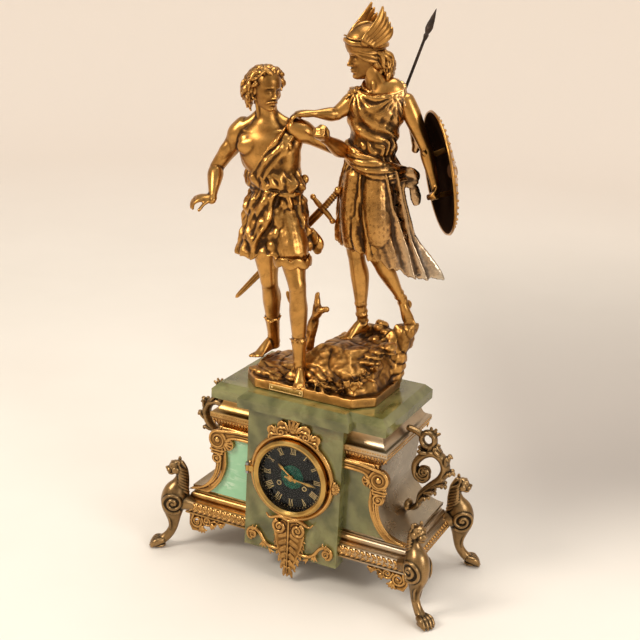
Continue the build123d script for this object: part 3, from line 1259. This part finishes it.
MAIDEN_TORSO = [(0.80, 0.64, 6.5, 0.48, 0.36), (0.74, 0.58, 7.06, 0.54, 0.42),
                (0.70, 0.54, 7.5, 0.64, 0.46),
                (0.80, 0.62, 7.92, 0.66, 0.3), (0.76, 0.6, 8.2, 0.26, 0.22)]
MAIDEN_SKIRT = [(0.80, 0.64, 6.66, 0.5, 0.38, 0), (0.68, 0.62, 5.7, 0.7, 0.54, 4),
                (0.84, 0.64, 4.6, 0.96, 0.7, 6),
                (1.2, 0.76, 3.5, 1.3, 0.66, 4)]
MAIDEN_PLEATS = 10
MAIDEN_TURN = 10.0
MAIDEN_FOLDS = (0.02, 0.04, 0.07, 0.1)
MAIDEN_TIP = [(1.9, 1.0, 3.8, 0.36, 0.3), (2.34, 1.12, 3.46, 0.2, 0.24), (2.66, 1.24, 3.24, 0.05, 0.06)]
MAIDEN_KNOT = [(1.3, 0.84, 6.16, 0.2, 0.16), (1.6, 0.94, 6.0, 0.26, 0.2), (1.86, 1.0, 5.84, 0.12, 0.1)]
MAIDEN_NECK = [(0.76, 0.6, 8.12, 0.22, 0.22), (0.64, 0.54, 8.56, 0.2, 0.2)]
MAIDEN_SKULL = (0.56, 0.5, 8.9, 0.42, 0.34, 0.5)
MAIDEN_BUN = (1.02, 0.68, 8.66, 0.28, 0.26, 0.24)
HELMET = (0.58, 0.5, 9.14, 0.54, 0.46, 0.62)
NEAR_WING = [(0.62, 0.16, 9.2, 0.3, 0.08), (0.72, 0.08, 9.7, 0.28, 0.06), (0.84, 0.1, 10.2, 0.05, 0.03)]
FAR_WING = [(0.5, 0.84, 9.2, 0.3, 0.08), (0.58, 0.94, 9.7, 0.28, 0.06), (0.7, 0.96, 10.16, 0.05, 0.03)]
MAIDEN_RIGHT_ARM = [(0.2, 0.46, 7.74, 0.24, 0.24), (-0.36, 0.24, 7.5, 0.18, 0.18),
                    (-0.74, -0.08, 7.46, 0.13, 0.13),
                    (-0.94, -0.28, 7.42, 0.14, 0.08), (-1.16, -0.44, 7.36, 0.07, 0.04)]
MAIDEN_LEFT_ARM = [(1.5, 0.74, 7.8, 0.26, 0.26), (1.86, 0.82, 7.3, 0.22, 0.22), (2.16, 0.9, 6.76, 0.18, 0.18),
                   (2.38, 0.8, 6.3, 0.17, 0.17), (2.55, 0.72, 5.82, 0.11, 0.11), (2.6, 0.7, 5.6, 0.15, 0.15),
                   (2.63, 0.69, 5.42, 0.08, 0.08)]
MAIDEN_RIGHT_LEG = [(0.52, 0.46, 4.2, 0.36, 0.36), (0.56, 0.44, 3.7, 0.27, 0.27),
                    (0.64, 0.52, 3.0, 0.25, 0.25),
                    (0.74, 0.66, 2.04, 0.15, 0.15), (0.76, 0.7, 1.7, 0.15, 0.17)]
MAIDEN_RIGHT_FOOT = [(0.86, 0.82, 1.66, 0.12, 0.16), (0.74, 0.6, 1.6, 0.16, 0.2),
                     (0.58, 0.36, 1.44, 0.17, 0.13),
                     (0.48, 0.2, 1.36, 0.1, 0.07)]
MAIDEN_LEFT_LEG = [(1.14, 0.36, 4.1, 0.34, 0.34), (1.24, 0.34, 3.74, 0.27, 0.27),
                   (1.5, 0.68, 3.1, 0.23, 0.23),
                   (1.78, 1.02, 2.5, 0.14, 0.14), (1.94, 1.06, 2.16, 0.17, 0.14),
                   (2.04, 1.08, 1.88, 0.12, 0.1)]
SHIELD_CENTRE = (2.631, 0.868, 6.17)
SHIELD_AIM = (0.81, 0.553, 0.183)
SHIELD_RADIUS = 1.62 * HEAD
SHIELD_RISE = 0.32 * HEAD
SHIELD_THICK = 0.08 * HEAD
SHIELD_STRAPS = [[(2.2, 0.86, 6.66, 0.08, 0.05), (2.62, 1.16, 6.76, 0.08, 0.05)],
                 [(2.56, 0.7, 5.56, 0.08, 0.05), (2.98, 1.0, 5.66, 0.08, 0.05)]]
SPEAR_SHAFT = [(0.66, 1.1, 6.0, 0.045, 0.045), (1.84, 1.27, 9.78, 0.04, 0.04)]
SPEAR_BLADE = [(1.76, 1.26, 9.54, 0.045, 0.045), (1.86, 1.28, 9.82, 0.13, 0.04),
               (2.0, 1.3, 10.28, 0.015, 0.01)]


def make_shield():
    """A shallow round shield, hollow inside, with an arm strap and a grip."""
    curve = (SHIELD_RADIUS ** 2 + SHIELD_RISE ** 2) / (2 * SHIELD_RISE)
    inner = curve - SHIELD_THICK
    with BuildPart() as shield:
        with Locations((0, 0, SHIELD_RISE - curve)):
            Sphere(curve)
            Sphere(inner, mode=Mode.SUBTRACT)
        with Locations((0, 0, -curve)):
            Box(4 * curve, 4 * curve, 2 * curve, mode=Mode.SUBTRACT)
    aim = Plane(origin=heads(*SHIELD_CENTRE), z_dir=SHIELD_AIM)
    dome = shield.part.moved(aim.location)
    straps = [limb(strap, (0, 0, 1)) for strap in SHIELD_STRAPS]
    return fused(dome, *[largest(cut_by(strap, dome)) for strap in straps])


PLAQUE_WIDTH = 52.0
PLAQUE_HEIGHT = 10.0
PLAQUE_THICK = 1.2
PLAQUE_X = -24.0
NUT_ACROSS = 6.0
STUD_NUT_HEIGHT = 6.0


def make_plaque():
    """A plain name plate, left blank, on the front of the rim."""
    with BuildPart() as plaque:
        with Locations((PLAQUE_X, -ROCK_HALF_DEPTH - PLAQUE_THICK / 2, SLAB_TOP + RIM / 2)):
            Box(PLAQUE_WIDTH, PLAQUE_THICK, PLAQUE_HEIGHT)
    return plaque.part


def make_figure_fixings():
    """Two studs that hold the rock to the slab, each with its nut."""
    with BuildPart() as fixings:
        for place in STUD_PLACES:
            with BuildSketch(Plane.XY.offset(SLAB_BOTTOM - 2 * STUD_NUT_HEIGHT)):
                with Locations(place):
                    Circle(STUD_RADIUS)
            extrude(amount=SLAB_THICK + 2 * STUD_NUT_HEIGHT + RIM)
            with BuildSketch(Plane.XY.offset(SLAB_BOTTOM - STUD_NUT_HEIGHT)):
                with Locations(place):
                    RegularPolygon(NUT_ACROSS, 6)
            extrude(amount=STUD_NUT_HEIGHT)
    return fixings.part

# Assembly of the saved pieces

ACROSS = (1, 0, 0)

rock_base = make_rock()

youth_tunic = skirt(YOUTH_SKIRT, YOUTH_PLEATS, YOUTH_FOLDS, YOUTH_TURN)
youth_torso = largest(cut_by(limb(YOUTH_TORSO, ACROSS), youth_tunic))
youth_head = largest(cut_by(limb(YOUTH_HEAD, ACROSS), youth_torso))
youth_right_arm = largest(cut_by(
    fused(*[limb(run, (0, 1, 0)) for run in YOUTH_RIGHT_ARM], ball(YOUTH_ELBOWS[0])), youth_torso,
    youth_tunic))
youth_left_arm = largest(cut_by(
    fused(*[limb(run, (0, 0, 1)) for run in YOUTH_LEFT_ARM], ball(YOUTH_FIST), ball(YOUTH_ELBOWS[1])),
    youth_torso))
youth_legs = fused(*[
    largest(cut_by(fused(limb(leg, ACROSS), limb(foot, ACROSS)), youth_tunic, rock_base))
    for leg, foot in ((YOUTH_RIGHT_LEG, YOUTH_RIGHT_FOOT), (YOUTH_LEFT_LEG, YOUTH_LEFT_FOOT))])

maiden_gown = fused(skirt(MAIDEN_SKIRT, MAIDEN_PLEATS, MAIDEN_FOLDS, MAIDEN_TURN), limb(MAIDEN_TIP, (0, 0,
                                                                                                     1)),
                    limb(MAIDEN_KNOT, (0, 0, 1)))
maiden_gown = largest(cut_by(maiden_gown, youth_tunic, youth_torso, rock_base))
maiden_torso = largest(cut_by(limb(MAIDEN_TORSO, ACROSS), maiden_gown))
helmet_cut = heads(*HELMET)
maiden_head = fused(limb(MAIDEN_NECK, ACROSS), ball(MAIDEN_SKULL), ball(MAIDEN_BUN))
helmet = fused(ball(HELMET), limb(NEAR_WING, ACROSS), limb(FAR_WING, ACROSS))
with BuildPart() as helmet_trim:
    add(helmet)
    with Locations((helmet_cut[0], helmet_cut[1], helmet_cut[2] - HEAD)):
        Box(4 * HEAD, 4 * HEAD, 2 * HEAD, mode=Mode.SUBTRACT)
winged_helmet = largest(cut_by(helmet_trim.part, maiden_head))
maiden_head = largest(cut_by(maiden_head, maiden_torso))
maiden_right_arm = largest(cut_by(limb(MAIDEN_RIGHT_ARM, (0, 0, 1)), maiden_torso, youth_torso,
                                  youth_left_arm,
                                  youth_head))
maiden_left_arm = largest(cut_by(limb(MAIDEN_LEFT_ARM, ACROSS), maiden_torso, maiden_gown))
maiden_legs = fused(
    largest(cut_by(fused(limb(MAIDEN_RIGHT_LEG, ACROSS), limb(MAIDEN_RIGHT_FOOT, ACROSS)), maiden_gown,
                   rock_base)),
    largest(cut_by(limb(MAIDEN_LEFT_LEG, ACROSS), maiden_gown, rock_base)))
shield = largest(cut_by(make_shield(), maiden_left_arm, maiden_gown))
spear = largest(cut_by(fused(limb(SPEAR_SHAFT, ACROSS), limb(SPEAR_BLADE, ACROSS)), maiden_gown,
                       maiden_torso,
                       maiden_left_arm, maiden_head, winged_helmet))
sword = largest(cut_by(fused(limb(SWORD_BLADE, ACROSS), limb(SWORD_GUARD, (0, 1, 0)), limb(SWORD_GRIP,
                                                                                           ACROSS),
                             ball(SWORD_POMMEL)), youth_tunic, youth_torso, maiden_gown, youth_legs,
                             rock_base))

leg = make_leg()
legs = {
    "front_right_leg": leg,
    "front_left_leg": mirror(leg, about=Plane.YZ),
    "rear_right_leg": mirror(leg, about=Plane.XZ),
    "rear_left_leg": mirror(mirror(leg, about=Plane.YZ), about=Plane.XZ),
}
for name, piece in legs.items():
    save(piece, name)

left_handle = make_handle(-1)
right_handle = make_handle(1)
scroll_mounts = fused(make_scroll_mount(-1), make_scroll_mount(1))

pieces = {
    "dial_surround": make_dial_surround(),
    "leaf_pendant": make_leaf_pendant(),
    "scroll_mounts": scroll_mounts,
    "left_handle": left_handle,
    "right_handle": right_handle,
    "front_aprons": make_front_aprons(),
    "dial": make_dial(),
    "dial_centre": disc(DIAL_FACE - DIAL_CENTRE_THICK, DIAL_FACE, DIAL_CENTRE_RADIUS, bore=DIAL_EYE_RADIUS),
    "minute_hand": make_hand(MINUTE_HAND_LENGTH, MINUTE_AT, MINUTE_HAND_BACK, CANNON_PIPE_RADIUS),
    "hour_hand": make_hand(HOUR_HAND_LENGTH, HOUR_AT, HOUR_HAND_BACK, HOUR_PIPE_RADIUS),
    "cannon_pinion": make_cannon_pinion(),
    "hour_wheel": make_hour_wheel(),
    "minute_wheel": make_minute_wheel(),
    "movement_frame": fused(make_movement_frame(), make_hammer_stud()),
    "going_arbor": make_winding_arbor(-1),
    "strike_arbor": make_winding_arbor(1),
    "train": make_train(),
    "case_boards": make_case_boards(),
    "crutch": make_crutch(),
    "pendulum": make_pendulum(),
    "suspension": make_suspension(),
    "bell": make_bell(),
    "bell_stand": make_bell_stand(),
    "hammer": make_hammer(),
    "movement_straps": make_movement_straps(),
    "bezel": make_bezel(),
    "bezel_glass": disc(GLASS_FRONT, GLASS_FRONT + GLASS_THICK, GLASS_RADIUS),
    "back_door": make_back_door(),
    "hinge_pins": fused(make_hinge_pin(BEZEL_PIN_X, BEZEL_PIN_Y, BLOCK_FRONT - SURROUND_THICK),
                        make_hinge_pin(DOOR_PIN_X, DOOR_PIN_Y, BODY_HALF_DEPTH)),
    "rock_base": rock_base,
    "plaque": make_plaque(),
    "figure_fixings": make_figure_fixings(),
    "youth_tunic": youth_tunic,
    "youth_torso": youth_torso,
    "youth_head": youth_head,
    "youth_right_arm": youth_right_arm,
    "youth_left_arm": youth_left_arm,
    "youth_legs": youth_legs,
    "sword": sword,
    "maiden_gown": maiden_gown,
    "maiden_torso": maiden_torso,
    "maiden_head": maiden_head,
    "winged_helmet": winged_helmet,
    "maiden_right_arm": maiden_right_arm,
    "maiden_left_arm": maiden_left_arm,
    "maiden_legs": maiden_legs,
    "shield": shield,
    "spear": spear,
}
for name, piece in pieces.items():
    save(piece, name)
